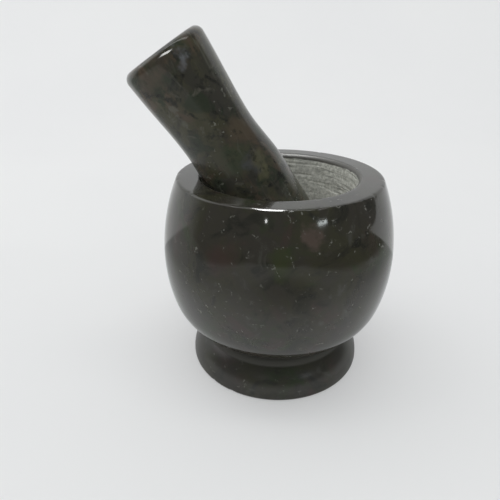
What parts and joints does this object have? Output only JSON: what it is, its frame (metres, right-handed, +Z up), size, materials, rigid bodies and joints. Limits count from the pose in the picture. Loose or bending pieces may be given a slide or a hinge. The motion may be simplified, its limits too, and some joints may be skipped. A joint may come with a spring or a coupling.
{
  "type": "mortar and pestle",
  "caption": "Turned and polished dark stone mortar with a round bowl on a foot, and a loose stone pestle that leans in the bowl and lifts out, for crushing and grinding by hand.",
  "frame": {"origin": "centre of the foot's flat underside", "axes": "+Z up along the mortar's axis; the pestle leans towards -X"},
  "size_m": [0.107, 0.1, 0.1435],
  "materials": {
    "mortar_stone": "polished outside and on the rim, rough and paler in the cavity",
    "pestle_stone": "polished, with a rough grinding end"
  },
  "bodies": {
    "mortar_body": {"mortar": "mortar_stone"},
    "pestle_body": {"pestle": "pestle_stone"}
  },
  "joints": [
    {"name": "pestle_lift", "type": "slide", "parent": "mortar_body", "child": "pestle_body", "axis": [0, 0, 1], "range_m": [0, 0.09]}
  ]
}
